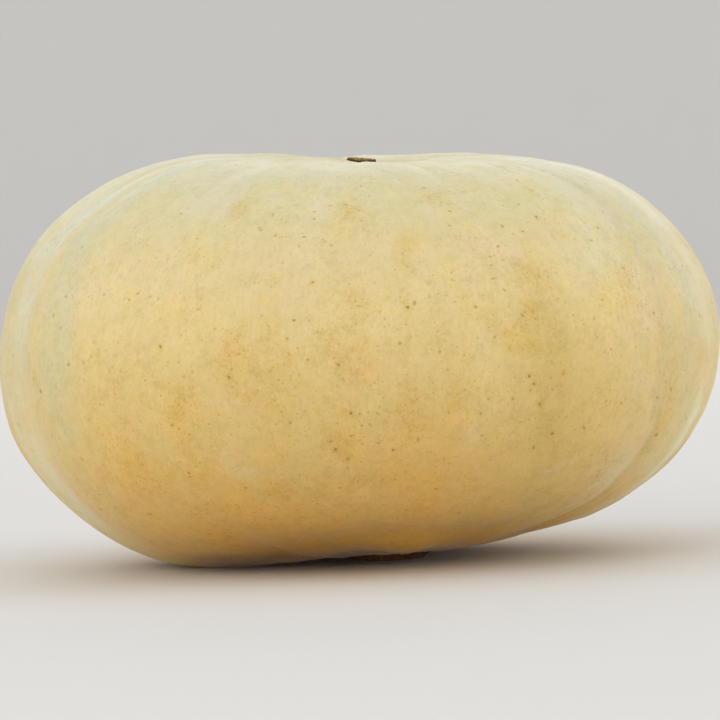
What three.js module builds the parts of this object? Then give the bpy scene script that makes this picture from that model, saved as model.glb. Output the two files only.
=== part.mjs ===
// A large flat-topped squash, standing on its trimmed stem.
// Millimetres, +Z up, +X along the fruit's longest width. The floor is z = 0, and the origin is the middle of the
// footprint on it. The fruit stands blossom end up: the corky stub of the stem is in the hollow underneath.
import * as THREE from "three";

// ---- driving dimensions ------------------------------------------------------------------------------------------
const CENTRE_Z = 105.22; // height of the fruit's middle above the floor
const AXIS_X = 8.035; // the growth axis stands off the middle of the footprint: the -X side grew fatter
const AXIS_Y = 1.148;
const AXIS_LEAN = -0.0305; // mm in X for each mm up: the axis leans a little to -X

// Distance from the middle of the fruit to its skin, every 10 degrees round two upright sections.
// ACROSS starts at +X and goes over the top to -X and back underneath. ALONG starts at -Y and does the same towards +Y.
const ACROSS = [
  182.5, 183.56, 177.25, 166.55, 151.63, 134.89, 122.48, 113.5, 107.5, 104.4, 108.2, 116.67,
  127.88, 145.0, 161.19, 175.46, 188.86, 195.63, 197.51, 194.93, 185.98, 173.19, 156.64, 137.51,
  121.35, 108.0, 96.8, 93.5, 96.6, 105.29, 113.21, 121.03, 135.16, 149.82, 164.2, 176.01,
];
const ALONG = [
  177.44, 176.35, 169.86, 159.35, 146.67, 133.91, 121.5, 111.7, 106.25, 104.4, 107.2, 113.3,
  123.11, 135.11, 143.89, 159.08, 169.21, 175.07, 175.44, 170.86, 162.81, 152.94, 142.22, 130.54,
  117.63, 104.86, 96.29, 93.5, 96.02, 107.05, 112.45, 120.96, 130.2, 146.6, 160.79, 172.37,
];

// Furrows between the lobes: compass angle in degrees from -Y towards +X, and how deep each is against the usual one.
const FURROW_DEG = [-103, -71, -40, -11.5, 20.7, 57, 91, 124, 156, 189, 224];
const FURROW_DEPTH = [1.0, 1.0, 0.75, 0.55, 0.75, 1.25, 1.0, 0.9, 0.8, 0.9, 1.0];
const FURROW_SHARE_EQUATOR = 0.013; // depth as a share of the radius, round the widest part
const FURROW_SHARE_SHOULDER = 0.01; // and on the shoulders
const FURROW_FADE = 0.35; // furrows fade out nearer the axis than this cosine of latitude
const FURROW_ROUND = 0.05; // rounding at the bottom of a furrow
const LOBE_SHAPE = 0.62; // under 1 gives full lobes with narrow furrows

// Places where the fruit grew fuller or flatter than its two sections say: compass angle, latitude and the spread of
// each in degrees, then how far out the skin stands there in mm.
const SWELLINGS = [
  [-38, -45, 20, 9, -2.6],
  [8, -52, 14, 9, 2.6],
  [25, -44, 8, 9, -1.6],
  [25, 72, 50, 11, -2.2],
];
const SWELLING_FADE = 0.12; // swellings fade out nearer the axis than this cosine of latitude

// The blossom end: a round corky scab in a shallow pit at the top of the axis, a little askew.
const PIT_DEPTH = 1.3;
const PIT_FLOOR_R = 8.0; // the pit's wall rises from this radius to the next
const PIT_RIM_R = 8.9;
const SCAR_SLOPE = 0.17; // the skin round the scar drops towards +X by this much
const SCAR_SLOPE_R = 14; // and levels out again over this radius
const SCAB_R = 7.3; // the scab where it sits on the pit's floor
const SCAB_PROUD = 1.4; // the scab's height above the skin round it
const SCAB_THICKNESS = SCAB_PROUD + PIT_DEPTH;

// The stem end: what is left of the stem, cut flat. Its face is what the fruit stands on.
const STUB_FACE_R = 18.0;
const STUB_WAIST_R = 22.2; // the cut edge is bevelled out to this radius
const STUB_WAIST_Z = 3.0; // at this height
const STUB_RIDGES = 10;
const STUB_RIDGE = 0.5; // height of the ridges down its side

const SEAT_GAP = 0.3; // clearance between the fruit and each of its two corky ends

// Lobe steps: facets between one furrow and the next, so that every furrow runs along an edge.
const STEPS_PER_LOBE = 8;
// Latitudes of the rows of facets, from the blossom end down to the stem end, in degrees.
const LATITUDES = [
  90, 87.8, 85.66, 85.1, 82, 78.5, 74.5, 70, 65, 60, 55, 50, 45, 40, 35, 30, 25, 20, 15, 10, 5, 0, -5, -10, -15, -20,
  -25, -30, -35, -40, -45, -50, -54, -58, -62, -66, -70, -73, -75.2, -78, -81, -85, -90,
];
const STUB_EDGE_LATITUDE = -75.2; // the row of facets where the stub's flared edge meets the fruit

// ---- the fruit's surface -----------------------------------------------------------------------------------------
const rad = THREE.MathUtils.degToRad;

// Second derivatives of a smooth closed curve through equally spaced values.
function curvatures(values) {
  const n = values.length;
  const h = (2 * Math.PI) / n;
  const rows = values.map((v, i) => {
    const row = new Array(n + 1).fill(0);
    row[i] = 4;
    row[(i + 1) % n] = 1;
    row[(i + n - 1) % n] = 1;
    row[n] = (6 * (values[(i + 1) % n] - 2 * v + values[(i + n - 1) % n])) / (h * h);
    return row;
  });
  for (let i = 0; i < n; i++)
    for (let k = 0; k < n; k++) {
      if (k === i) continue;
      const f = rows[k][i] / rows[i][i];
      if (f !== 0) for (let c = i; c <= n; c++) rows[k][c] -= f * rows[i][c];
    }
  return rows.map((row, i) => row[n] / row[i]);
}

function closedCurve(values) {
  const n = values.length;
  const h = (2 * Math.PI) / n;
  const m = curvatures(values);
  return (angle) => {
    const t = ((((angle / (2 * Math.PI)) % 1) + 1) % 1) * n;
    const i = Math.floor(t) % n;
    const j = (i + 1) % n;
    const u = t - Math.floor(t);
    const a = 1 - u;
    return (
      a * values[i] + u * values[j] + (((a ** 3 - a) * m[i] + (u ** 3 - u) * m[j]) * h * h) / 6
    );
  };
}

const across = closedCurve(ACROSS);
const along = closedCurve(ALONG);

// 0 on the crest of a lobe and about 1 in a furrow, times that furrow's own depth.
function furrow(lobe, u) {
  const s = Math.sin(Math.PI * u);
  const g = Math.max(0, 1 - Math.pow(Math.hypot(s, FURROW_ROUND), LOBE_SHAPE));
  const next = FURROW_DEPTH[(lobe + 1) % FURROW_DEPTH.length];
  return g * (FURROW_DEPTH[lobe] * (1 - u) + next * u);
}

function furrowShare(latitude) {
  const c = Math.cos(latitude);
  const share = FURROW_SHARE_EQUATOR * c * c + FURROW_SHARE_SHOULDER * (1 - c * c);
  return share * Math.pow(THREE.MathUtils.clamp(c / FURROW_FADE, 0, 1), 1.5);
}

function swelling(compass, latitude) {
  let mm = 0;
  for (const [midCompass, midLatitude, spreadCompass, spreadLatitude, height] of SWELLINGS) {
    const turn = compass - rad(midCompass);
    const dc = Math.atan2(Math.sin(turn), Math.cos(turn)) / rad(spreadCompass);
    const dl = (latitude - rad(midLatitude)) / rad(spreadLatitude);
    mm += height * Math.exp(-dc * dc - dl * dl);
  }
  return mm * Math.min(1, Math.max(0, Math.cos(latitude)) / SWELLING_FADE);
}

// A point of the skin, with the floor at z = 0 and no part under it.
function skin(compass, latitude, lobe, u) {
  const s = Math.sin(compass);
  const c = Math.cos(compass);
  const a = across(s >= 0 ? latitude : Math.PI - latitude);
  const b = along(c >= 0 ? latitude : Math.PI - latitude);
  const r = (s * s * a + c * c * b + swelling(compass, latitude)) * (1 - furrowShare(latitude) * furrow(lobe, u));
  const out = r * Math.cos(latitude);
  const up = r * Math.sin(latitude);
  let z = up + CENTRE_Z;
  if (latitude > rad(60)) z -= SCAR_SLOPE * out * s * Math.exp(-((out / SCAR_SLOPE_R) ** 2));
  if (latitude > rad(80)) {
    const wall = THREE.MathUtils.smoothstep(out, PIT_FLOOR_R + 0.05, PIT_RIM_R - 0.05);
    z -= PIT_DEPTH * (1 - wall);
  }
  return new THREE.Vector3(out * s + AXIS_X + AXIS_LEAN * up, -out * c + AXIS_Y, Math.max(z, 0));
}

// Compass angles of the columns of facets.
const columns = [];
FURROW_DEG.forEach((from, lobe) => {
  const to = lobe + 1 < FURROW_DEG.length ? FURROW_DEG[lobe + 1] : FURROW_DEG[0] + 360;
  for (let k = 0; k < STEPS_PER_LOBE; k++) {
    const u = k / STEPS_PER_LOBE;
    columns.push({ compass: rad(from + (to - from) * u), lobe, u });
  }
});
const skinAt = (column, latitudeDeg) =>
  skin(columns[column].compass, rad(latitudeDeg), columns[column].lobe, columns[column].u);

// A sphere's net of faces with every vertex moved to place(column, row): a closed body whose first and last rows are points.
function body(columnCount, rowCount, place) {
  const geometry = new THREE.SphereGeometry(1, columnCount, rowCount - 1);
  const position = geometry.getAttribute("position");
  for (let row = 0; row < rowCount; row++)
    for (let col = 0; col <= columnCount; col++) {
      const p = place(col % columnCount, row);
      position.setXYZ(row * (columnCount + 1) + col, p.x, p.y, p.z);
    }
  geometry.computeVertexNormals();
  return geometry;
}

const fruitGeometry = body(columns.length, LATITUDES.length, (col, row) => skinAt(col, LATITUDES[row]));

// ---- the corky ends ----------------------------------------------------------------------------------------------
const HALF = columns.length / 2; // the two ends take every other column

// A point between the axis point and the skin's row at a given radius share.
const toward = (centre, edge, share) => centre.clone().lerp(edge, share);

// Blossom scab: its underside follows the floor of the pit, its top is a low uneven button.
const pitMiddle = skinAt(0, 90);
const scabRows = [
  { share: 0, up: SCAB_THICKNESS - 0.5 },
  { share: 0.3, up: SCAB_THICKNESS - 0.1 },
  { share: 0.66, up: SCAB_THICKNESS },
  { share: 0.93, up: SCAB_THICKNESS - 0.6 },
  { share: 1.04, up: SCAB_THICKNESS * 0.5 },
  { share: 1.0, up: 0.45 },
  { share: 0.94, up: SEAT_GAP },
  { share: 0.5, up: SEAT_GAP },
  { share: 0, up: SEAT_GAP },
];
const scabGeometry = body(HALF, scabRows.length, (col, row) => {
  const { share, up } = scabRows[row];
  const compass = columns[2 * col].compass;
  const edge = skinAt(2 * col, 87.8).sub(pitMiddle); // slope of the pit's floor in this direction
  const flatness = edge.z / Math.hypot(edge.x, edge.y);
  const r = SCAB_R * share;
  // the button thins out towards +X
  const thin = up > 1 ? 1 - 0.05 * share * (1 + Math.sin(compass)) : 1;
  return new THREE.Vector3(
    pitMiddle.x + r * Math.sin(compass),
    pitMiddle.y - r * Math.cos(compass),
    pitMiddle.z + r * flatness + up * thin,
  );
});

// Stem stub: its top follows the hollow of the fruit, its side runs in to a flat cut face on the floor.
const hollowRows = LATITUDES.filter((l) => l <= STUB_EDGE_LATITUDE).reverse(); // from the axis out to the flared edge
const stubMiddle = skinAt(0, -90);
const stubTop = hollowRows.map((latitude) => (col) => {
  const p = skinAt(2 * col, latitude);
  return new THREE.Vector3(p.x, p.y, p.z - SEAT_GAP);
});
const ring = (radius, z, ridge) => (col) => {
  const compass = columns[2 * col].compass;
  const r = radius + ridge * Math.cos(STUB_RIDGES * compass + 0.7) + 0.35 * Math.cos(3 * compass + 1.9);
  return new THREE.Vector3(stubMiddle.x + r * Math.sin(compass), stubMiddle.y - r * Math.cos(compass), z);
};
const stubRows = [
  ...stubTop,
  ring(STUB_WAIST_R, STUB_WAIST_Z, STUB_RIDGE),
  ring(STUB_FACE_R + 0.6, 0.7, STUB_RIDGE),
  ring(STUB_FACE_R, 0, STUB_RIDGE),
  ring(STUB_FACE_R * 0.5, 0, 0),
  () => new THREE.Vector3(stubMiddle.x, stubMiddle.y, 0),
];
const stubGeometry = body(HALF, stubRows.length, (col, row) => stubRows[row](col));

// ---- materials and assembly --------------------------------------------------------------------------------------
const rind = new THREE.MeshStandardMaterial({ color: 0xe3cf9a, roughness: 0.55, metalness: 0 });
const cork = new THREE.MeshStandardMaterial({ color: 0x6f4a30, roughness: 0.9, metalness: 0 });
const scab = new THREE.MeshStandardMaterial({ color: 0x8a6b43, roughness: 0.9, metalness: 0 });

function named(name, geometry, material) {
  const mesh = new THREE.Mesh(geometry, material);
  mesh.name = name;
  return mesh;
}

const squash = new THREE.Group();
squash.name = "squash";
squash.add(named("fruit", fruitGeometry, rind));
squash.add(named("stem_stub", stubGeometry, cork));
squash.add(named("blossom_scar", scabGeometry, scab));

export default squash;
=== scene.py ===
# A large flat pumpkin standing blossom end up on the cut stub of its stem.
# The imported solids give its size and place. This script makes the visible skin, stub and scar at fine detail.
import math

import bpy
import numpy as np
from mathutils import Matrix, Vector


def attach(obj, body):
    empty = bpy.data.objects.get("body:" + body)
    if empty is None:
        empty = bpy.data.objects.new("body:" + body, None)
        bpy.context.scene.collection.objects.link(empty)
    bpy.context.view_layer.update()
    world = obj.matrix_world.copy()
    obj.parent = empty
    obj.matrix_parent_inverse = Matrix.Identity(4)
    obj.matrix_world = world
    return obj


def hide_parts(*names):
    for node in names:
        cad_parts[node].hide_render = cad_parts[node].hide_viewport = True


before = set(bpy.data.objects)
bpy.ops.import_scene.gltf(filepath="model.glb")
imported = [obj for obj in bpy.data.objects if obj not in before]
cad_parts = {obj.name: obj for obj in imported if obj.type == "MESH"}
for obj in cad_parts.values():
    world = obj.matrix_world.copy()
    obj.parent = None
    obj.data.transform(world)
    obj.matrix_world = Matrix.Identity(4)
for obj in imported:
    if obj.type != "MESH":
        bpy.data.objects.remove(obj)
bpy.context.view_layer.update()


MM = 0.001
rng = np.random.default_rng(71)

# ---------------------------------------------------------------------------------------------------------------
# The fruit's surface: the same closed curves and furrows as the solids, in millimetres
# ---------------------------------------------------------------------------------------------------------------
CENTRE_Z = 105.22
AXIS_X, AXIS_Y, AXIS_LEAN = 8.035, 1.148, -0.0305
ACROSS = np.array([
    182.5, 183.56, 177.25, 166.55, 151.63, 134.89, 122.48, 113.5, 107.5, 104.4, 108.2, 116.67,
    127.88, 145.0, 161.19, 175.46, 188.86, 195.63, 197.51, 194.93, 185.98, 173.19, 156.64, 137.51,
    121.35, 108.0, 96.8, 93.5, 96.6, 105.29, 113.21, 121.03, 135.16, 149.82, 164.2, 176.01,
])
ALONG = np.array([
    177.44, 176.35, 169.86, 159.35, 146.67, 133.91, 121.5, 111.7, 106.25, 104.4, 107.2, 113.3,
    123.11, 135.11, 143.89, 159.08, 169.21, 175.07, 175.44, 170.86, 162.81, 152.94, 142.22, 130.54,
    117.63, 104.86, 96.29, 93.5, 96.02, 107.05, 112.45, 120.96, 130.2, 146.6, 160.79, 172.37,
])
FURROW_DEG = np.array([-103, -71, -40, -11.5, 20.7, 57, 91, 124, 156, 189, 224.0])
FURROW_DEPTH = np.array([1.0, 1.0, 0.75, 0.55, 0.75, 1.25, 1.0, 0.9, 0.8, 0.9, 1.0])
# places that grew fuller or flatter: compass, latitude, the spread of each in degrees, and mm outwards
SWELLINGS = [(-38, -45, 20, 9, -2.6), (8, -52, 14, 9, 2.6), (25, -44, 8, 9, -1.6),
             (25, 72, 50, 11, -2.2)]
PIT_DEPTH, PIT_FLOOR_R, PIT_RIM_R = 1.3, 8.0, 8.9
SCAR_SLOPE, SCAR_SLOPE_R = 0.17, 14.0


def curvatures(v):
    n = len(v)
    h = 2 * np.pi / n
    i = np.arange(n)
    a = np.zeros((n, n))
    a[i, i] = 4
    a[i, (i + 1) % n] = 1
    a[i, (i - 1) % n] = 1
    return np.linalg.solve(a, 6 * (np.roll(v, -1) - 2 * v + np.roll(v, 1)) / h**2)


def closed_curve(v):
    n = len(v)
    h = 2 * np.pi / n
    m = curvatures(v)

    def at(angle):
        t = ((angle / (2 * np.pi)) % 1.0) * n
        i = np.floor(t).astype(int) % n
        j = (i + 1) % n
        u = t - np.floor(t)
        a = 1 - u
        return a * v[i] + u * v[j] + ((a**3 - a) * m[i] + (u**3 - u) * m[j]) * h * h / 6

    return at


across, along = closed_curve(ACROSS), closed_curve(ALONG)


def lobe_of(compass):
    """Which lobe a compass angle in degrees is on, and how far across it, from 0 to 1."""
    p = (compass - FURROW_DEG[0]) % 360 + FURROW_DEG[0]
    edges = np.r_[FURROW_DEG, FURROW_DEG[0] + 360]
    k = np.clip(np.searchsorted(edges, p, side="right") - 1, 0, len(FURROW_DEG) - 1)
    return k, (p - edges[k]) / (edges[k + 1] - edges[k])


def furrow_at(compass, rounding=0.05, shape=0.62):
    k, u = lobe_of(compass)
    g = np.maximum(0, 1 - np.hypot(np.sin(np.pi * u), rounding) ** shape)
    return g * (FURROW_DEPTH[k] * (1 - u) + FURROW_DEPTH[(k + 1) % len(FURROW_DEG)] * u)


def smooth(x, a, b):
    t = np.clip((x - a) / (b - a), 0, 1)
    return t * t * (3 - 2 * t)


def skin(compass, lat, pit=True):
    """Points of the skin for compass angles in degrees and latitudes in radians."""
    ph = np.radians(compass)
    s, c = np.sin(ph), np.cos(ph)
    ra = across(np.where(s >= 0, lat, np.pi - lat))
    rb = along(np.where(c >= 0, lat, np.pi - lat))
    cl = np.cos(lat)
    share = (0.013 * cl * cl + 0.010 * (1 - cl * cl)) * np.clip(cl / 0.35, 0, 1) ** 1.5
    swelling = 0.0
    for mc, ml, wc, wl, mm in SWELLINGS:
        turn = (compass - mc + 180) % 360 - 180
        swelling = swelling + mm * np.exp(-((turn / wc) ** 2) - ((np.degrees(lat) - ml) / wl) ** 2)
    swelling = swelling * np.clip(cl / 0.12, 0, 1)  # faded out at the axis
    r = (s * s * ra + c * c * rb + swelling) * (1 - share * furrow_at(compass))
    out, up = r * cl, r * np.sin(lat)
    z = up + CENTRE_Z - np.where(lat > np.radians(60), SCAR_SLOPE * out * s * np.exp(-((out / SCAR_SLOPE_R) ** 2)), 0)
    if pit:
        wall = smooth(out, PIT_FLOOR_R + 0.05, PIT_RIM_R - 0.05)
        z = z - np.where(lat > np.radians(80), PIT_DEPTH * (1 - wall), 0)
    return np.stack([out * s + AXIS_X + AXIS_LEAN * up, -out * c + AXIS_Y, z], -1)


def waves(p, wavelength, seed, n=44, spread=0.35):
    """Smooth seeded noise of about unit size at one wavelength: a sum of plane waves in random directions."""
    g = np.random.default_rng(seed)
    d = g.normal(size=(n, p.shape[-1]))
    d /= np.linalg.norm(d, axis=1, keepdims=True)
    k = 2 * np.pi / (wavelength * np.exp(g.normal(size=n) * spread))
    ph = g.uniform(0, 2 * np.pi, n)
    out = np.zeros(p.shape[:-1])
    for i in range(n):
        out += np.cos((p @ d[i]) * k[i] + ph[i])
    return out * math.sqrt(2.0 / n)


# ---------------------------------------------------------------------------------------------------------------
# Mesh helpers
# ---------------------------------------------------------------------------------------------------------------
def grid_mesh(name, pts, closed_poles=True):
    """A closed mesh from points[row, column] that wrap round in columns; the first and last rows are poles."""
    rows, cols = pts.shape[:2]
    top, bottom = pts[0].mean(0), pts[-1].mean(0)
    ring = pts[1:-1].reshape(-1, 3)
    verts = np.concatenate([[top], ring, [bottom]]) * MM
    n = rows - 2
    faces = []
    j = np.arange(cols)
    jn = (j + 1) % cols
    for r in range(n - 1):
        a = 1 + r * cols
        b = a + cols
        faces.append(np.stack([a + j, b + j, b + jn, a + jn], 1))
    quads = np.concatenate(faces)
    last = len(verts) - 1
    tris = np.concatenate([
        np.stack([np.zeros(cols, int), 1 + j, 1 + jn], 1),
        np.stack([np.full(cols, last), 1 + (n - 1) * cols + jn, 1 + (n - 1) * cols + j], 1)])
    me = bpy.data.meshes.new(name)
    me.vertices.add(len(verts))
    me.vertices.foreach_set("co", verts.astype(np.float32).ravel())
    loops = np.concatenate([quads.ravel(), tris.ravel()]).astype(np.int32)
    me.loops.add(len(loops))
    me.loops.foreach_set("vertex_index", loops)
    starts = np.concatenate([np.arange(len(quads)) * 4, len(quads) * 4 + np.arange(len(tris)) * 3]).astype(np.int32)
    me.polygons.add(len(starts))
    me.polygons.foreach_set("loop_start", starts)
    me.polygons.foreach_set("use_smooth", np.ones(len(starts), bool))
    me.update(calc_edges=True)
    me.validate()
    ob = bpy.data.objects.new(name, me)
    bpy.context.scene.collection.objects.link(ob)
    return ob


def per_vertex(values):
    """values[row, column] as one number for each vertex of grid_mesh."""
    return np.concatenate([[values[0].mean()], values[1:-1].ravel(), [values[-1].mean()]]).astype(np.float32)


def add_float(ob, name, values):
    at = ob.data.attributes.new(name, "FLOAT", "POINT")
    at.data.foreach_set("value", per_vertex(values))


def add_vector(ob, name, values):
    at = ob.data.attributes.new(name, "FLOAT_VECTOR", "POINT")
    flat = np.stack([per_vertex(values[..., i]) for i in range(3)], -1)
    at.data.foreach_set("vector", flat.ravel())


def normals_of(p):
    du = np.roll(p, -1, 1) - np.roll(p, 1, 1)
    dv = np.gradient(p, axis=0)
    n = np.cross(dv, du)
    size = np.linalg.norm(n, axis=-1, keepdims=True)
    n = n / np.maximum(size, 1e-9)
    n[0], n[-1] = (0, 0, 1), (0, 0, -1)
    return n


# ---------------------------------------------------------------------------------------------------------------
# Fruit
# ---------------------------------------------------------------------------------------------------------------
COLS = 480
LATS = np.concatenate([
    np.linspace(90, 86.2, 6)[:-1], np.linspace(86.2, 83.6, 13)[:-1], np.linspace(83.6, 78, 7)[:-1],
    np.linspace(78, -78, 164)[:-1], np.linspace(-78, -90, 11)])
compass = (np.arange(COLS) * 360.0 / COLS)[None, :] - 180.0
AZ, LA = np.broadcast_arrays(compass, np.radians(LATS)[:, None])
AZ, LA = AZ.copy(), LA.copy()
# columns drawn in a little towards the furrows, where the surface bends most
k, u = lobe_of(AZ)
edges = np.r_[FURROW_DEG, FURROW_DEG[0] + 360]
AZ = edges[k] + (edges[k + 1] - edges[k]) * (u - 0.055 * np.sin(2 * np.pi * u))

base = skin(AZ, LA)
base[..., 2] = np.maximum(base[..., 2], -2)
nrm = normals_of(base)
deg = np.degrees(LA)
radius_top = np.hypot(base[..., 0] - skin(0, np.array(np.pi / 2))[0], base[..., 1] - AXIS_Y)
stub_mid = skin(np.array(0.0), np.array(-np.pi / 2))
radius_low = np.hypot(base[..., 0] - stub_mid[0], base[..., 1] - AXIS_Y)
upper, lower = smooth(deg, 55, 75), smooth(-deg, 45, 65)

# a coordinate that runs slowly along each meridian, for streaks that follow the lobes
azr = np.radians(AZ)
merid = np.stack([np.sin(azr) * 150, -np.cos(azr) * 150, deg * 0.55], -1)

swell = 0.55 * waves(base, 95, 3) + 0.26 * waves(base, 42, 4) + 0.10 * waves(base, 19, 5)
ribs = 0.16 * waves(merid, 26, 6) + 0.09 * waves(merid, 11, 7)
# narrow crease at the bottom of each furrow, deepest on the shoulders
ku, uu = lobe_of(AZ)
crease = np.exp(-((np.sin(np.pi * uu) / 0.085) ** 2)) * (FURROW_DEPTH[ku] * (1 - uu) + FURROW_DEPTH[(ku + 1) % 11] * uu)
crease *= 0.25 + 0.75 * smooth(np.abs(deg), 8, 50)
# puckers that gather round the scar and round the stub
pk_top = np.cos(23 * azr + 1.3 * np.sin(3 * azr)) + 0.6 * np.cos(37 * azr + 2.0)
pk_low = np.cos(19 * azr + 1.1 * np.sin(2 * azr + 1)) + 0.6 * np.cos(31 * azr)
puck = 0.16 * pk_top * smooth(deg, 52, 70) * np.exp(-((radius_top - 16) / 24) ** 2) * smooth(radius_top, 9.5, 12)
puck_low = 0.16 * pk_low * smooth(-deg, 50, 62) * np.exp(-((radius_low - 27) / 11) ** 2)
fade = smooth(radius_top, 9.9, 16) * np.where(deg > 0, 1, smooth(radius_low, 20, 34))
disp = (swell * 0.6 + ribs) * np.where(deg > 0, smooth(radius_top, 14, 52), smooth(radius_low, 22, 40)) - 0.16 * crease * fade + puck + puck_low
# a soft lip round the pit
disp += 0.12 * np.exp(-((radius_top - 12.2) / 1.9) ** 2) * (deg > 60)
pts = base + nrm * disp[..., None]
pts[0], pts[-1] = pts[0].mean(0), pts[-1].mean(0)
pts[..., 2] = np.maximum(pts[..., 2], 0.0)

fruit = grid_mesh("pumpkin_skin", pts)

# Growth marks, painted highlights and painted shade, as soft masks. Angles are compass degrees and latitudes.
def bump1(x, mid, width):
    return np.exp(-((x - mid) / width) ** 2)


def span(x, a, b, soft):
    return smooth(x, a - soft, a + soft) * (1 - smooth(x, b - soft, b + soft))


wob = 1.3 * waves(merid, 60, 11) + 0.6 * waves(merid, 24, 12)
azw = (AZ + wob + 180) % 360 - 180
latw = deg + 1.6 * waves(base, 40, 13) + 0.7 * waves(base, 17, 14)
n60, n30, n14 = waves(base, 60, 21), waves(base, 30, 22), waves(base, 14, 23)
streak = waves(merid, 17, 24)


def turn(mid):
    return (azw - mid + 180) % 360 - 180


def band(mid, width, lo, hi, soft=8):
    """A strip that follows a meridian between two latitudes."""
    return bump1(turn(mid), 0, width) * span(latw, lo, hi, soft)


def patch(mid, lat, wide, high):
    return np.exp(-((turn(mid) / wide) ** 2) - ((latw - lat) / high) ** 2)


# Tints: what each growth mark, painted highlight and painted shade does to the skin's colour, as a share of red, green
# and blue. The first of the four below, a pale blue-white tint, is a painted highlight along ridges and furrows; the
# other three are growth colours.
RIDGE_HIGHLIGHT, GREEN_STRIP, OLIVE, OCHRE = (0.98, 1.05, 1.22), (0.94, 1.01, 1.17), (0.93, 0.945, 0.91), (0.985, 0.925, 0.76)
BANDS = [
    (-88, 9, -60, 55, 14, (0.99, 1.03, 1.10)),       # -X flank, paler and bluer: partly its own colour, partly painted rim reflection
    (-77, 4.5, -60, 30, 14, (0.96, 1.08, 1.37)),     # painted highlight along the ridges of that flank and in the furrow between them
    (-71.5, 2.6, -48, 42, 12, (0.97, 1.10, 1.46)),
    (-61, 5.0, -12, 60, 10, (0.905, 1.015, 1.25)),    # green strip inside it
    (57, 2.6, -34, 44, 8, (0.91, 0.965, 1.10)),      # +X furrow, shaded
    (49, 4.5, -40, 40, 9, (0.975, 1.03, 1.22)),
    (64.5, 4.2, -18, 44, 9, (0.94, 1.04, 1.29)),     # green strip outside it
    (82, 9, -60, 60, 12, (1.01, 1.07, 1.22)),        # +X flank, paler and bluer: partly its own colour, partly painted rim reflection
    # this line and the next: painted rim reflection on the flanks, brightest low down on the +X and -X sides, where the
    # edges catch light from below and the side
    (70, 8, -66, -8, 9, (1.035, 1.19, 1.56)), (-74, 9, -52, -4, 9, (1.09, 1.13, 1.34)),
    (72.5, 4.5, -60, 60, 12, (1.045, 1.135, 1.44)),
    (53.5, 3.0, -46, -12, 7, (1.05, 1.13, 1.42)),    # painted highlight low on the shoulder of the lobe beside the +X furrow, which faces the bright side
    (30, 6.5, -22, 16, 9, (0.915, 0.90, 0.81)),      # olive strip on the lobe towards +X
    (19.5, 2.2, -34, -6, 6, (1.0, 1.03, 1.08)),
    (-13.7, 2.4, 6, 44, 8, (1.01, 1.01, 1.06)),
    # round the back: the strip at 92 degrees and the pale blue-white ridge tints are painted rim reflection and painted
    # highlights like those on the front; the green, olive and ochre strips are growth colours
    (92, 4.0, -50, 50, 10, (1.0, 1.05, 1.2)), (100, 5, -30, 50, 10, GREEN_STRIP), (112, 6, -45, 20, 12, RIDGE_HIGHLIGHT),
    (124, 2.2, -35, 40, 10, OLIVE), (131, 5, -5, 60, 10, GREEN_STRIP), (143, 5, -25, 12, 9, (0.93, 0.91, 0.82)),
    (156, 2.2, -30, 40, 10, RIDGE_HIGHLIGHT), (165, 6, 0, 60, 10, GREEN_STRIP), (-171, 2.4, -35, 40, 10, OLIVE),
    (-160, 5, -5, 55, 10, GREEN_STRIP), (-150, 6, -30, 10, 10, (0.94, 0.92, 0.84)), (-136, 2.4, -40, 40, 10, RIDGE_HIGHLIGHT),
    (-127, 5, 0, 60, 10, GREEN_STRIP), (-112, 5, -45, 30, 12, RIDGE_HIGHLIGHT), (-103, 2.4, -40, 40, 10, OLIVE)]
PATCHES = [
    (-38, 34, 12, 12, (1.0, 1.045, 1.15)), (-10, 34, 8, 9, (1.02, 1.02, 1.05)), (41, 30, 12, 12, (0.99, 1.035, 1.11)),
    (40, 20.5, 5, 5, (0.97, 1.03, 1.15)), (34, 27, 4.5, 4, (0.985, 0.955, 0.90)),
    (10, -22, 12, 10, (1.03, 0.92, 0.72)), (-30, -28, 14, 9, (1.05, 0.945, 0.76)),
    (-5, -36, 4.5, 4.5, (0.93, 0.96, 1.10)), (36, -34, 10, 8, (0.90, 0.97, 1.15)), (5, -48, 26, 8, (1.01, 1.03, 1.05)),
    # the last two patches on the next line are painted shade: the contact shadow under the -X front lobe where it nears
    # the floor
    (-50, -20, 7, 10, (1.03, 0.97, 0.86)), (-28, -66, 45, 9, (0.72, 0.66, 0.45)), (-54, -50, 17, 7, (0.62, 0.56, 0.40)),
    (21, 5, 8, 9, (1.03, 1.06, 1.18)), (-46, 40, 9, 8, (0.99, 1.02, 1.09)), (-67, 5, 4, 22, (0.99, 1.03, 1.11)),
    (-50, 8, 5, 16, (1.0, 1.02, 1.07)), (-2, 7, 9, 8, (1.03, 1.03, 1.06)), (44, 23, 8, 8, (1.03, 1.035, 1.05)),
    (115, -18, 12, 10, (1.03, 0.93, 0.76)), (175, -20, 14, 10, (1.03, 0.93, 0.76)), (-128, -24, 12, 9, (1.04, 0.94, 0.78))]
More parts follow.
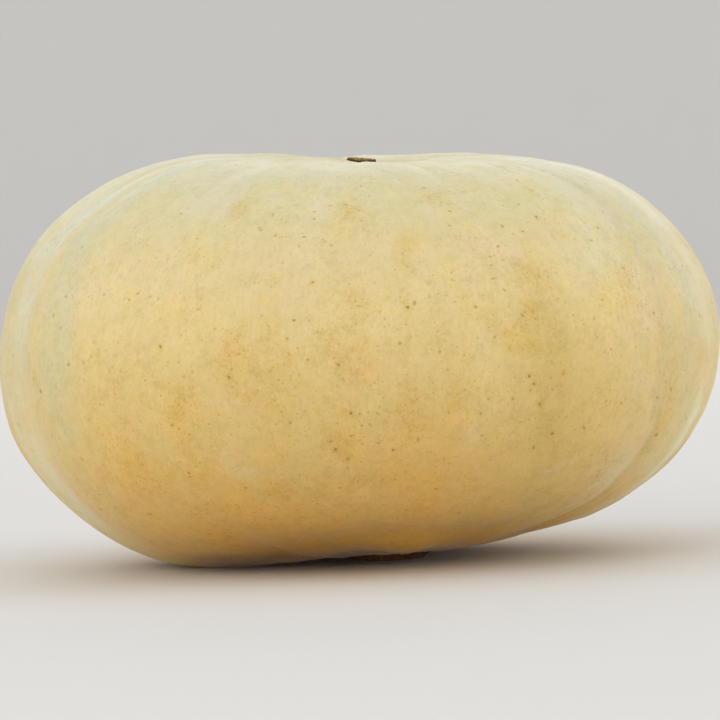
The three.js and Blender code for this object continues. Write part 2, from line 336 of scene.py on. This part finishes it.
# ochre clouds a centimetre or two across, where freckles crowd
CLOUDS = [
    (-45.9, -8.2, 4, 5), (-31.9, -6.8, 4, 4), (-19.9, 3, 3, 4), (-19.5, -3.7, 3, 3), (-4.5, 10.8, 3, 2.5),
    (-4.9, 2.3, 3.5, 3), (-7.7, 5.3, 3, 3), (23.7, 8.8, 4, 3.5), (28.1, 10.9, 3.5, 5), (6, -5, 3, 3), (12.3, -6.3, 2.5, 3),
    (-8.1, -12.7, 3.5, 3), (-18.7, -22.5, 4.5, 4.5), (-3.8, -22, 6, 4), (-45.3, -15.1, 4.5, 5), (-35, -18, 3, 4),
    (4.1, -11.3, 3.5, 4), (-15.2, 5.5, 2.5, 3), (6.1, 21.3, 3, 4), (16.8, 31.9, 4, 5), (-4.3, 30.2, 3.5, 4.5),
    (46.7, 12.5, 4, 5), (40.2, 8.8, 3, 4), (58.1, -9.2, 2.5, 5), (-26.9, 31.8, 3, 5)]
g = np.random.default_rng(91)
for _ in range(46):
    c = g.uniform(78, 282)
    CLOUDS.append(((c + 180) % 360 - 180, g.normal(-2, 16), g.uniform(2.5, 4.5), g.uniform(3, 5)))

# the product of all tints: growth colours together with the painted highlights and painted shade
growth_and_painted_light = np.ones(AZ.shape + (3,))
vary = np.clip(1 + 0.16 * n30 + 0.16 * streak, 0.4, 1.5)


def tint(mask, rgb):
    global growth_and_painted_light
    growth_and_painted_light = growth_and_painted_light * (1 + np.clip(mask * vary, 0, 1.3)[..., None] * (np.array(rgb) - 1))


for mid, width, lo, hi, soft, rgb in BANDS:
    tint(band(mid, width, lo, hi, soft), rgb)
for mid, lat, wide, high, rgb in PATCHES:
    tint(patch(mid, lat, wide, high), rgb)
cloudy = np.zeros(AZ.shape)
for mid, lat, wide, high in CLOUDS:
    cloudy = np.maximum(cloudy, patch(mid, lat, wide, high))
tint(cloudy * 0.78, OCHRE)
# scuffs where the skin was rubbed pale
scuffs = np.zeros(AZ.shape)
for mid, lat, wide, high in [(-24.5, -15.5, 3.2, 1.8), (-22, -6.5, 2.4, 1.4), (17.5, -12, 1.6, 3.2), (34, -19, 3.5, 2.0), (54, -22, 2.0, 5.0),
                             (-70, -18, 1.6, 7), (140, -14, 3, 2), (-150, -5, 3, 2)]:
    scuffs = np.maximum(scuffs, patch(mid, lat, wide, high))

# where freckles gather
freck = 0.16 + 0.62 * bump1(deg, -4, 26) + 0.58 * bump1(deg, -36, 14) + 0.14 * bump1(turn(42), 0, 20) + 0.22 * n30 + 0.16 * n60 + 0.55 * cloudy - 0.35 * scuffs
freck *= 1 - 0.55 * np.clip(bump1(turn(-72), 0, 14) + bump1(turn(74), 0, 14), 0, 1)
freck = np.clip(freck, 0.03, 1.3)

for nm, v in (("freck", freck), ("cloudy", np.clip(cloudy, 0, 1)), ("scuff", scuffs), ("lat", deg / 90)):
    add_float(fruit, nm, v)
add_vector(fruit, "merid", merid)
add_vector(fruit, "growth_and_painted_light", growth_and_painted_light)

# single dark specks: compass, latitude, radius in mm
SPECKS = [
    (-10, 16, 0.75), (6, 11, 0.95), (-36, 5.5, 0.9), (-24, 0.5, 1.0), (-20, 1.5, 0.6), (-11, 3, 0.7), (-6, 2, 0.75), (-1, 1, 0.5),
    (25.6, -1.2, 0.8), (26.4, -2.6, 0.9), (25.8, -3.6, 0.6), (27.6, -6, 0.9), (31.8, -1.2, 0.7), (-4.6, -6, 0.9), (-3.2, -6.2, 0.6),
    (5.6, -4.5, 0.7), (17, -7, 0.9), (-8, -12.5, 0.9), (-5, -10, 0.6), (-36, -16.5, 0.7), (-35.5, -7, 0.7), (31, 24, 0.7),
    (36, 27, 0.8), (18, 30, 0.6), (-21, 26.5, 0.6), (32, 16, 0.6), (31, -11.5, 1.0), (28, -14, 0.9), (-54, 7.5, 0.6), (2, -13, 0.7)]
g = np.random.default_rng(17)
for _ in range(22):
    SPECKS.append((g.uniform(75, 285), g.normal(-2, 15), g.uniform(0.5, 1.0)))
speck_at = [(skin(np.array(float(c)), np.radians(float(l))) * MM, r * MM) for c, l, r in SPECKS]

# ---------------------------------------------------------------------------------------------------------------
# Node helpers
# ---------------------------------------------------------------------------------------------------------------
def lin(r, g, b):
    f = lambda c: ((c / 255 + 0.055) / 1.055) ** 2.4 if c / 255 > 0.04045 else c / 255 / 12.92
    return (f(r), f(g), f(b), 1.0)


class Tree:
    def __init__(self, name):
        self.mat = bpy.data.materials.new(name)
        self.mat.use_nodes = True
        self.t = self.mat.node_tree
        self.t.nodes.clear()
        self.out = self.t.nodes.new("ShaderNodeOutputMaterial")
        self.bsdf = self.t.nodes.new("ShaderNodeBsdfPrincipled")
        self.t.links.new(self.bsdf.outputs[0], self.out.inputs[0])

    def new(self, kind, **props):
        n = self.t.nodes.new(kind)
        for key, v in props.items():
            setattr(n, key, v)
        return n

    def put(self, socket, v):
        if hasattr(v, "links"):
            self.t.links.new(v, socket)
        else:
            socket.default_value = v

    def attr(self, name, vector=False):
        n = self.new("ShaderNodeAttribute", attribute_name=name, attribute_type="GEOMETRY")
        return n.outputs["Vector"] if vector else n.outputs["Fac"]

    def coords(self):
        return self.new("ShaderNodeTexCoord").outputs["Object"]

    def math(self, op, a, b=0.0, clamp=False, c=None):
        n = self.new("ShaderNodeMath", operation=op, use_clamp=clamp)
        self.put(n.inputs[0], a)
        self.put(n.inputs[1], b)
        if c is not None:
            self.put(n.inputs[2], c)
        return n.outputs[0]

    def vmath(self, op, a, b):
        n = self.new("ShaderNodeVectorMath", operation=op)
        self.put(n.inputs[0], a)
        self.put(n.inputs[1], b)
        return n.outputs[0]

    def noise(self, vec, scale, detail=2.0, rough=0.5, distort=0.0, color=False):
        n = self.new("ShaderNodeTexNoise")
        self.put(n.inputs["Vector"], vec)
        n.inputs["Scale"].default_value = scale
        n.inputs["Detail"].default_value = detail
        n.inputs["Roughness"].default_value = rough
        n.inputs["Distortion"].default_value = distort
        return n.outputs["Color"] if color else n.outputs["Fac"]

    def voronoi(self, vec, scale, feature="F1", rand=1.0):
        n = self.new("ShaderNodeTexVoronoi", feature=feature)
        self.put(n.inputs["Vector"], vec)
        n.inputs["Scale"].default_value = scale
        n.inputs["Randomness"].default_value = rand
        return n

    def ramp(self, v, a, b, lo=0.0, hi=1.0):
        """Smooth step of v from a to b, giving lo to hi."""
        n = self.new("ShaderNodeMapRange", interpolation_type="SMOOTHSTEP")
        self.put(n.inputs["Value"], v)
        self.put(n.inputs["From Min"], a)
        self.put(n.inputs["From Max"], b)
        n.inputs["To Min"].default_value = lo
        n.inputs["To Max"].default_value = hi
        return n.outputs["Result"]

    def mix(self, fac, a, b, blend="MIX"):
        n = self.new("ShaderNodeMix", data_type="RGBA", blend_type=blend, clamp_factor=True)
        self.put(n.inputs[0], fac)
        self.put(n.inputs[6], a)
        self.put(n.inputs[7], b)
        return n.outputs[2]

    def bump(self, height, distance, strength=1.0, normal=None):
        n = self.new("ShaderNodeBump")
        self.put(n.inputs["Height"], height)
        n.inputs["Distance"].default_value = distance
        n.inputs["Strength"].default_value = strength
        if normal is not None:
            self.put(n.inputs["Normal"], normal)
        return n.outputs[0]


# ---------------------------------------------------------------------------------------------------------------
# Rind
# ---------------------------------------------------------------------------------------------------------------
def rind_material():
    t = Tree("rind")
    co = t.coords()
    along_m = t.attr("merid", True)
    growth_and_painted_light = t.attr("growth_and_painted_light", True)
    freck, cloudy, scuff, lat = (t.attr(n) for n in ("freck", "cloudy", "scuff", "lat"))

    # paler and cooler towards the blossom end, warmer and deeper towards the stem; the darkest stops, from -48 degrees
    # down, are partly painted shade on the underside
    base = t.new("ShaderNodeValToRGB")
    t.put(base.inputs[0], t.math("MULTIPLY_ADD", lat, 0.5, c=0.5))
    stops = [
        (-90, (0.66, 0.38, 0.085)), (-62, (0.70, 0.395, 0.056)), (-48, (0.69, 0.378, 0.048)), (-36, (0.74, 0.440, 0.080)),
        (-24, (0.728, 0.495, 0.158)), (-12, (0.732, 0.518, 0.180)), (0, (0.702, 0.519, 0.198)), (12, (0.712, 0.562, 0.256)),
        (24, (0.691, 0.575, 0.292)), (36, (0.660, 0.590, 0.328)), (50, (0.632, 0.602, 0.390)), (72, (0.650, 0.600, 0.372))]
    el = base.color_ramp.elements
    while len(el) < len(stops):
        el.new(0.5)
    for e, (deg_, c) in zip(el, stops):
        e.position, e.color = deg_ / 180 + 0.5, (*c, 1)
    col = t.mix(1.0, base.outputs[0], growth_and_painted_light, "MULTIPLY")

    # blotches: yellower and pinker patches of some centimetres, broken up by finer ones
    blot = t.noise(co, 48, 4, 0.62, 0.4)
    col = t.mix(t.ramp(blot, 0.47, 0.70, 0, 0.75), col, (1.03, 0.985, 0.80, 1), "MULTIPLY")
    blot2 = t.noise(t.vmath("ADD", co, (3.1, 1.7, 0.4)), 62, 4, 0.62, 0.4)
    col = t.mix(t.ramp(blot2, 0.48, 0.72, 0, 0.75), col, (1.035, 0.985, 1.13, 1), "MULTIPLY")
    blot3 = t.noise(t.vmath("ADD", co, (1.3, 4.2, 2.9)), 90, 4, 0.65, 0.3)
    col = t.mix(t.ramp(blot3, 0.47, 0.72, 0, 0.70), col, (0.96, 0.985, 0.94, 1), "MULTIPLY")

    # lighter and darker mottling at every size down to the grain, stronger on the sunward belly than at the crown
    level = t.math("MULTIPLY_ADD", freck, 0.42, c=0.60)
    mott = t.noise(t.vmath("ADD", co, (0.7, 2.2, 5.1)), 95, 6, 0.95)
    f1 = t.math("MULTIPLY", t.ramp(mott, 0.50, 0.61, 0, 0.62), level)
    col = t.mix(f1, col, (0.86, 0.83, 0.72, 1), "MULTIPLY")
    f2 = t.math("MULTIPLY", t.ramp(mott, 0.49, 0.39, 0, 0.62), level)
    col = t.mix(f2, col, (1.09, 1.10, 1.16, 1), "MULTIPLY")
    # dabs a few millimetres across, olive and straw
    dab = t.noise(t.vmath("ADD", co, (4.4, 0.6, 1.9)), 230, 3, 0.75)
    f4 = t.math("MULTIPLY", t.ramp(dab, 0.53, 0.68, 0, 0.80), level)
    col = t.mix(f4, col, (0.93, 0.90, 0.76, 1), "MULTIPLY")
    # fine streaks along the meridians
    st = t.noise(along_m, 0.5, 4, 0.65)
    col = t.mix(t.ramp(st, 0.45, 0.72, 0, 0.45), col, (0.93, 0.93, 0.90, 1), "MULTIPLY")
    tick = t.noise(along_m, 1.5, 3, 0.7)
    f3 = t.math("MULTIPLY", t.ramp(tick, 0.56, 0.72, 0, 0.75), level)
    col = t.mix(f3, col, (0.86, 0.84, 0.74, 1), "MULTIPLY")

    # soft ochre and orange clouds inside the crowded patches
    cloud = t.noise(t.vmath("ADD", co, (0.3, 0.9, 0.2)), 150, 4, 0.7)
    cl = t.math("MULTIPLY", t.ramp(cloud, 0.50, 0.66, 0, 0.6), t.math("MULTIPLY_ADD", cloudy, 0.72, c=0.15))
    col = t.mix(cl, col, (0.99, 0.86, 0.55, 1), "MULTIPLY")
    # and the fine olive pepper in them
    pepper = t.noise(t.vmath("ADD", co, (2.3, 0.2, 3.2)), 620, 3, 0.8)
    pf = t.math("MULTIPLY", t.ramp(pepper, 0.52, 0.66, 0, 0.75), t.math("MULTIPLY_ADD", cloudy, 0.70, c=0.16))
    col = t.mix(pf, col, (0.80, 0.72, 0.44, 1), "MULTIPLY")

    # freckles of three sizes, each only in some of its cells
    height = None

    def freckles(scale, radius, keep, colour, strength, seed):
        nonlocal col, height
        shift = t.vmath("ADD", co, (seed * 1.37, seed * 0.71, seed * 2.13))
        dist = t.noise(co, scale * 3.1, 2, 0.6, color=True)
        w = 0.42 / scale
        dd = t.vmath("MULTIPLY", t.vmath("SUBTRACT", dist, (0.5, 0.5, 0.5)), (w, w, w))
        v = t.voronoi(t.vmath("ADD", shift, dd), scale)
        cell = t.new("ShaderNodeSeparateColor")
        t.put(cell.inputs[0], v.outputs["Color"])
        kept = t.ramp(cell.outputs[0], t.math("SUBTRACT", 1.0, t.math("MULTIPLY", freck, keep)), 1.0, 0, 1)
        # the bigger the cell's draw, the bigger and the darker its freckle
        size = t.math("MULTIPLY", t.math("ADD", t.math("MULTIPLY", kept, 0.7), 0.3), radius)
        spot = t.ramp(t.math("DIVIDE", v.outputs["Distance"], size), 1.0, 0.2, 0, 1)
        spot = t.math("MULTIPLY", spot, t.ramp(kept, 0.0, 0.6, 0, 1))
        col = t.mix(t.math("MULTIPLY", spot, strength), col, colour)
        height = spot if height is None else t.math("ADD", height, spot)

    freckles(480, 0.44, 0.42, lin(180, 142, 50), 0.50, 1)
    freckles(250, 0.32, 0.38, lin(184, 122, 34), 0.60, 2)
    freckles(130, 0.20, 0.34, lin(150, 112, 28), 0.62, 3)
    freckles(60, 0.11, 0.40, lin(132, 98, 22), 0.66, 4)

    # single specks, ragged at the edge, each with a faint stain round it
    rag = t.vmath("MULTIPLY", t.vmath("SUBTRACT", t.noise(co, 900, 3, 0.7, color=True), (0.5, 0.5, 0.5)), (0.0022, 0.0022, 0.0022))
    cor = t.vmath("ADD", co, rag)
    near = None
    for p, r in speck_at:
        d = t.new("ShaderNodeVectorMath", operation="DISTANCE")
        t.put(d.inputs[0], cor)
        d.inputs[1].default_value = [float(x) for x in p]
        q = t.math("DIVIDE", d.outputs["Value"], float(r))
        near = q if near is None else t.math("MINIMUM", near, q)
    col = t.mix(t.ramp(near, 3.8, 0.8, 0, 0.42), col, (0.93, 0.80, 0.50, 1), "MULTIPLY")
    speck = t.ramp(near, 1.15, 0.45, 0, 1)
    col = t.mix(t.math("MULTIPLY", speck, 0.70), col, lin(118, 88, 14))
    height = t.math("ADD", height, speck)

    # rubbed scuffs: chalky, broken into dashes
    dash = t.noise(co, 420, 4, 0.75)
    col = t.mix(t.math("MULTIPLY", scuff, t.ramp(dash, 0.44, 0.60, 0.06, 0.44)), col, lin(222, 204, 180))

    t.put(t.bsdf.inputs["Base Color"], col)
    rough = t.ramp(t.noise(co, 60, 4, 0.6), 0.3, 0.7, 0.46, 0.58)
    rough = t.math("ADD", rough, t.math("MULTIPLY", height, 0.12), clamp=True)
    t.put(t.bsdf.inputs["Roughness"], rough)
    t.bsdf.inputs["IOR"].default_value = 1.45
    t.bsdf.inputs["Sheen Weight"].default_value = 0.16
    t.bsdf.inputs["Sheen Roughness"].default_value = 0.35

    orange_peel = t.noise(co, 260, 3, 0.6)
    n1 = t.bump(orange_peel, 0.00022, 0.55)
    n2 = t.bump(t.noise(along_m, 0.42, 4, 0.6), 0.0010, 0.30, n1)
    n3 = t.bump(height, 0.00010, 0.7, n2)
    t.put(t.bsdf.inputs["Normal"], n3)
    return t.mat


rind = rind_material()
fruit.data.materials.append(rind)
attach(fruit, "root")
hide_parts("fruit")

# ---------------------------------------------------------------------------------------------------------------
# Stem stub
# ---------------------------------------------------------------------------------------------------------------
SC = 540
saz = np.arange(SC) * 360.0 / SC - 180.0
sar = np.radians(saz)


def hollow(r, a_deg):
    """Height of the fruit's underside at radius r from the stub's axis."""
    lat = -np.pi / 2 + np.arctan2(r, 93.5)
    p = skin(a_deg, lat)
    for _ in range(6):
        rr = np.hypot(p[..., 0] - stub_mid[0], p[..., 1] - stub_mid[1])
        lat = lat + (r - rr) / 95.0
        p = skin(a_deg, lat)
    return p[..., 2]


def ring_noise(seed, harmonics, amp):
    g = np.random.default_rng(seed)
    o = np.zeros(SC)
    for h in harmonics:
        o += np.cos(h * sar + g.uniform(0, 2 * np.pi)) * g.uniform(0.4, 1.0)
    return amp * o / math.sqrt(len(harmonics))


big = ring_noise(31, (2, 3, 4, 5), 0.45)
rid = np.abs(np.cos(5 * sar + 0.35 + 0.25 * np.sin(2 * sar))) ** 0.7
wires = np.abs(np.cos(23 * sar + 2.6 * np.sin(3 * sar) + 1.7 * np.sin(7 * sar + 1) + 0.8 * np.sin(13 * sar))) ** 0.8
wires = wires * (0.35 + 0.65 * smooth(ring_noise(35, (2, 5, 9, 14), 1.0), -0.6, 0.9))
fine_r = ring_noise(33, (21, 26, 33, 41), 0.10) + 0.42 * wires
rows = []
# up the middle of its buried top, out to the flared edge, down the side, across the cut face
edge_r = 24.6 + big * 0.6 + 0.3 * rid
for f in np.linspace(0, 1, 14):
    r = edge_r * f
    rows.append((r, hollow(np.maximum(r, 0.01), saz) - 0.3 - 0.35 * f**6))
z_edge = rows[-1][1]
for tt in np.linspace(0.06, 1, 22):
    # side profile: down from the flared edge, then bevelled in to the cut face
    waist = 17.7 + 0.7 * big + 0.6 * rid
    z = z_edge * (1 - tt) ** 1.5
    bevel = np.clip(z / 3.0, 0, 1) ** 0.85
    above = np.clip((z - 3.0) / (z_edge - 3.0), 0, 1)
    r = waist + (22.3 + 0.5 * big + 0.3 * rid - waist) * bevel + (edge_r - 22.3) * above**1.5 + (fine_r + 0.3 * np.cos(10 * sar + 6 * tt)) * min(1, tt * 4) * (1 if tt < 0.95 else 0.6)
    r = r + 0.16 * np.sin(17 * tt + 3 * sar) * (1 - abs(2 * tt - 1))
    rows.append((r, z))
r_face = rows[-1][0]
for f in (0.985, 0.95, 0.9, 0.84, 0.78, 0.7, 0.62, 0.54, 0.46, 0.38, 0.31, 0.25, 0.2, 0.15, 0.1, 0.05, 0.0):
    rough_cut = 0.16 * (1 + np.cos(29 * sar + 9 * f)) * (0.4 < f < 0.95) + 0.10 * (1 + np.cos(11 * sar - 14 * f)) * (f < 0.9)
    z = rough_cut + 1.5 * smooth(np.array(0.24 - f), 0.0, 0.16) + 0.28 * smooth(np.array(f), 0.5, 0.62) * (1 - smooth(np.array(f), 0.66, 0.8))
    rows.append((r_face * f, np.maximum(z, 0) * np.ones(SC)))
sp = np.zeros((len(rows), SC, 3))
for i, (r, z) in enumerate(rows):
    sp[i, :, 0] = stub_mid[0] + r * np.sin(sar)
    sp[i, :, 1] = stub_mid[1] - r * np.cos(sar)
    sp[i, :, 2] = z
body = sp[14:36]
crust = 0.16 * waves(body, 3.2, 41) + 0.09 * waves(body, 1.5, 42)
out_dir = np.stack([np.sin(sar), -np.cos(sar), np.zeros(SC)], -1)
sp[14:36] += out_dir[None] * crust[..., None]
sp[..., 2] = np.maximum(sp[..., 2], 0.0)
stub = grid_mesh("stem_stub_cork", sp)
height_on = sp[..., 2] / 8.0
face_mask = np.zeros(sp.shape[:2])
face_mask[36:] = 1
rad_mask = np.hypot(sp[..., 0] - stub_mid[0], sp[..., 1] - stub_mid[1]) / 24.0
add_float(stub, "cut", face_mask)
add_float(stub, "rad", rad_mask)
add_float(stub, "up", height_on)
add_float(stub, "crest", np.broadcast_to(wires, sp.shape[:2]))
add_vector(stub, "grain", np.stack([np.sin(sar)[None] * 20 + 0 * height_on, -np.cos(sar)[None] * 20 + 0 * height_on, sp[..., 2] * 0.35], -1))


def cork_material():
    t = Tree("stem_cork")
    co = t.coords()
    grain = t.attr("grain", True)
    cut, rad, up, crest = t.attr("cut"), t.attr("rad"), t.attr("up"), t.attr("crest")
    n = t.noise(grain, 0.55, 5, 0.65)
    col = t.mix(t.ramp(n, 0.3, 0.7), lin(84, 40, 20), lin(128, 78, 44))
    # painted highlight on the crests of the fine ridges, as if lit from the side; on the next line, painted shade in
    # the grooves between them
    col = t.mix(t.math("MULTIPLY", t.ramp(crest, 0.55, 1.0), t.ramp(n, 0.35, 0.6, 0.05, 0.60)), col, lin(176, 128, 78))
    col = t.mix(t.ramp(crest, 0.35, 0.0, 0, 0.6), col, lin(60, 26, 12))
    f = t.noise(co, 620, 4, 0.7)
    col = t.mix(t.ramp(f, 0.5, 0.72, 0, 0.6), col, lin(158, 120, 82))
    col = t.mix(t.ramp(up, 0.55, 1.0, 0, 0.55), col, lin(176, 142, 100))
    # cut face: paler dry wood in rings with a dark pith and a dark bark line
    ringv = t.math("SINE", t.math("MULTIPLY", t.math("ADD", rad, t.math("MULTIPLY", f, 0.05)), 60.0))
    wood = t.mix(t.ramp(ringv, -1, 1), lin(150, 112, 72), lin(188, 152, 106))
    wood = t.mix(t.ramp(rad, 0.22, 0.08), wood, lin(70, 44, 26))
    wood = t.mix(t.ramp(rad, 0.60, 0.74), wood, lin(98, 62, 36))
    wood = t.mix(t.ramp(t.noise(co, 900, 4, 0.7), 0.5, 0.75, 0, 0.5), wood, lin(92, 60, 36))
    col = t.mix(cut, col, wood)
    t.put(t.bsdf.inputs["Base Color"], col)
    t.put(t.bsdf.inputs["Roughness"], t.ramp(f, 0.2, 0.8, 0.78, 0.95))
    h = t.math("ADD", t.math("MULTIPLY", n, 0.7), t.math("MULTIPLY", f, 0.5))
    t.put(t.bsdf.inputs["Normal"], t.bump(h, 0.0007, 0.8))
    return t.mat


stub.data.materials.append(cork_material())
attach(stub, "root")
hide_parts("stem_stub")

# ---------------------------------------------------------------------------------------------------------------
# Blossom scar
# ---------------------------------------------------------------------------------------------------------------
NC = 220
naz = np.arange(NC) * 360.0 / NC - 180.0
nar = np.radians(naz)
pit_mid = skin(np.array(0.0), np.array(np.pi / 2))


def pit_floor(r, a_deg):
    lat = np.pi / 2 - np.arctan2(np.minimum(r, 7.9), 104.4)
    return skin(a_deg, lat)[..., 2]


g = np.random.default_rng(51)
wavy = sum(np.cos(h * nar + g.uniform(0, 6.28)) * g.uniform(0.5, 1) for h in (2, 3, 5, 7, 11)) * 0.20
wavy2 = sum(np.cos(h * nar + g.uniform(0, 6.28)) * g.uniform(0.5, 1) for h in (4, 9, 13, 19, 27)) * 0.09
tilt = -np.sin(nar)
R_TOP = 7.15 + wavy
nrows = []
for f in np.concatenate([np.linspace(0, 0.9, 19), [0.94, 0.97, 1.0]]):
    r = R_TOP * f
    dome = 2.95 - 0.30 * tilt * f - 0.38 * f**6 + 0.16 * np.exp(-((f - 0.72) / 0.12) ** 2) - 0.5 * np.exp(-(f / 0.16) ** 2)
    nrows.append((r, pit_floor(r, naz) + dome))
top_n = len(nrows)
for tt in np.linspace(0.1, 1, 9):
    r = R_TOP + 0.55 * np.sin(np.pi * min(tt * 1.3, 1)) + wavy2 - 0.9 * smooth(np.array(tt), 0.55, 1.0)
    zt = nrows[top_n - 1][1]
    zb = pit_floor(r, naz) + 0.3
    nrows.append((r, zt + (zb - zt) * tt))
rb = nrows[-1][0]
for f in (0.8, 0.5, 0.2, 0.0):
    nrows.append((rb * f, pit_floor(rb * f, naz) + 0.3))
np_ = np.zeros((len(nrows), NC, 3))
for i, (r, z) in enumerate(nrows):
    np_[i, :, 0] = pit_mid[0] + r * np.sin(nar)
    np_[i, :, 1] = pit_mid[1] - r * np.cos(nar)
    np_[i, :, 2] = z
sel = np_[1:top_n + 7]
sel[..., 2] += 0.13 * waves(sel, 2.6, 61) + 0.07 * waves(sel, 1.1, 62)
np_[1:top_n + 7] = sel
scar = grid_mesh("blossom_scar_cork", np_)
rr = np.hypot(np_[..., 0] - pit_mid[0], np_[..., 1] - pit_mid[1]) / 8.0
side = np.zeros(np_.shape[:2])
side[top_n:] = 1
side[top_n - 2:top_n] = 0.5
add_float(scar, "rad", rr)
add_float(scar, "side", side)
add_float(scar, "east", np.sin(nar)[None, :] * rr)


def scar_material():
    t = Tree("scar_cork")
    co = t.coords()
    rad, side, east = t.attr("rad"), t.attr("side"), t.attr("east")
    n = t.noise(co, 520, 5, 0.7)
    col = t.mix(t.ramp(n, 0.32, 0.68), lin(122, 92, 34), lin(178, 146, 78))
    crack = t.voronoi(co, 520, "DISTANCE_TO_EDGE").outputs["Distance"]
    col = t.mix(t.ramp(crack, 0.10, 0.0, 0, 0.7), col, lin(70, 46, 22))
    col = t.mix(t.ramp(east, 0.0, 0.9, 0, 0.35), col, lin(104, 80, 38))
    # painted shade: the scar's sides darker than its top, which is lit from above
    col = t.mix(t.ramp(side, 0.2, 0.9, 0, 0.95), col, lin(58, 40, 10))
    col = t.mix(t.ramp(rad, 0.16, 0.04, 0, 0.7), col, lin(74, 50, 26))
    t.put(t.bsdf.inputs["Base Color"], col)
    t.put(t.bsdf.inputs["Roughness"], t.ramp(n, 0.3, 0.7, 0.75, 0.95))
    h = t.math("ADD", t.math("MULTIPLY", n, 0.6), t.ramp(crack, 0.0, 0.12, 0, 0.4))
    t.put(t.bsdf.inputs["Normal"], t.bump(h, 0.0005, 0.8))
    return t.mat


scar.data.materials.append(scar_material())
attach(scar, "root")
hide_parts("blossom_scar")

# ---------------------------------------------------------------------------------------------------------------
# Floor, lights and camera
# ---------------------------------------------------------------------------------------------------------------
def stage_sheet():
    """A pale floor that sweeps up into a backdrop behind the fruit, and away on every side."""
    me = bpy.data.meshes.new("floor")
    ob = bpy.data.objects.new("floor", me)
    bpy.context.scene.collection.objects.link(ob)
    nseg, rings = 96, []
    for r in (0.0001, 0.3, 0.8, 1.6, 2.6, 3.6):
        rings.append((r, 0.0))
    for a in np.linspace(0, np.pi / 2, 14)[1:]:
        rings.append((3.6 + 1.4 * math.sin(a), 1.4 * (1 - math.cos(a))))
    rings.append((5.0, 4.0))
    verts, faces = [], []
    for r, z in rings:
        for j in range(nseg):
            a = 2 * math.pi * j / nseg
            verts.append((r * math.cos(a), r * math.sin(a), z))
    for i in range(len(rings) - 1):
        for j in range(nseg):
            jn = (j + 1) % nseg
            faces.append((i * nseg + j, (i + 1) * nseg + j, (i + 1) * nseg + jn, i * nseg + jn))
    faces.append(tuple(range(nseg)))
    me.from_pydata(verts, [], faces)
    me.polygons.foreach_set("use_smooth", np.ones(len(me.polygons), bool))
    t = Tree("floor_paint")
    t.bsdf.inputs["Base Color"].default_value = (0.70, 0.69, 0.675, 1)
    t.bsdf.inputs["Roughness"].default_value = 0.9
    ob.data.materials.append(t.mat)
    return ob


floor = stage_sheet()
floor.visible_shadow = True


def area(name, loc, aim, size, power, colour=(1, 1, 1), size_y=None):
    d = bpy.data.lights.new(name, "AREA")
    d.energy, d.color, d.size = power, colour, size
    if size_y:
        d.shape, d.size_y = "RECTANGLE", size_y
    ob = bpy.data.objects.new(name, d)
    bpy.context.scene.collection.objects.link(ob)
    ob.location = loc
    ob.rotation_euler = (Vector(aim) - Vector(loc)).to_track_quat("-Z", "Y").to_euler()
    return ob


K = 18.9
area("high_left", (-1.6, -2.4, 1.4), (0, 0, 0.1), 1.4, 0.93 * K, (1, 1, 1), 1.4)
area("left", (-2.6, -0.2, 0.9), (0, 0, 0.1), 1.4, 0.64 * K, (1, 1, 1), 1.4)
area("right", (2.6, -0.2, 0.9), (0, 0, 0.1), 1.4, 1.08 * K, (1, 1, 1), 1.4)
area("behind", (0.0, 2.4, 1.2), (0, 0, 0.1), 2.4, 0.54 * K, (1, 1, 1), 1.0)
area("low_front", (0.0, -3.0, 0.15), (0, 0, 0.08), 2.4, 0.62 * K, (1, 1, 1), 0.25)

world = bpy.data.worlds.new("soft_room")
bpy.context.scene.world = world
world.use_nodes = True
world.node_tree.nodes["Background"].inputs[0].default_value = (1.0, 1.0, 1.0, 1)
world.node_tree.nodes["Background"].inputs[1].default_value = 0.943

# The camera: a long lens a little above the middle of the fruit, rolled by a degree or two
ELEV, ROLL = math.radians(2.7), math.radians(2.2)
AIM = Vector((0.12, 1.148, CENTRE_Z)) * MM
DIST = 6000 * (380.0 / 720.0) * MM
fwd = Vector((0, math.cos(ELEV), -math.sin(ELEV)))
right0, up0 = Vector((1, 0, 0)), Vector((0, math.sin(ELEV), math.cos(ELEV)))
right = right0 * math.cos(ROLL) - up0 * math.sin(ROLL)
upv = right0 * math.sin(ROLL) + up0 * math.cos(ROLL)
cd = bpy.data.cameras.new("view")
cd.lens, cd.sensor_width, cd.sensor_fit = 300.0, 36.0, "HORIZONTAL"
cd.clip_start, cd.clip_end = 0.05, 50
cam = bpy.data.objects.new("view", cd)
bpy.context.scene.collection.objects.link(cam)
m = Matrix((right, upv, -fwd)).transposed().to_4x4()
m.translation = AIM - fwd * DIST
cam.matrix_world = m
bpy.context.scene.camera = cam
bpy.context.scene.view_settings.view_transform = "Standard"

bpy.context.view_layer.update()
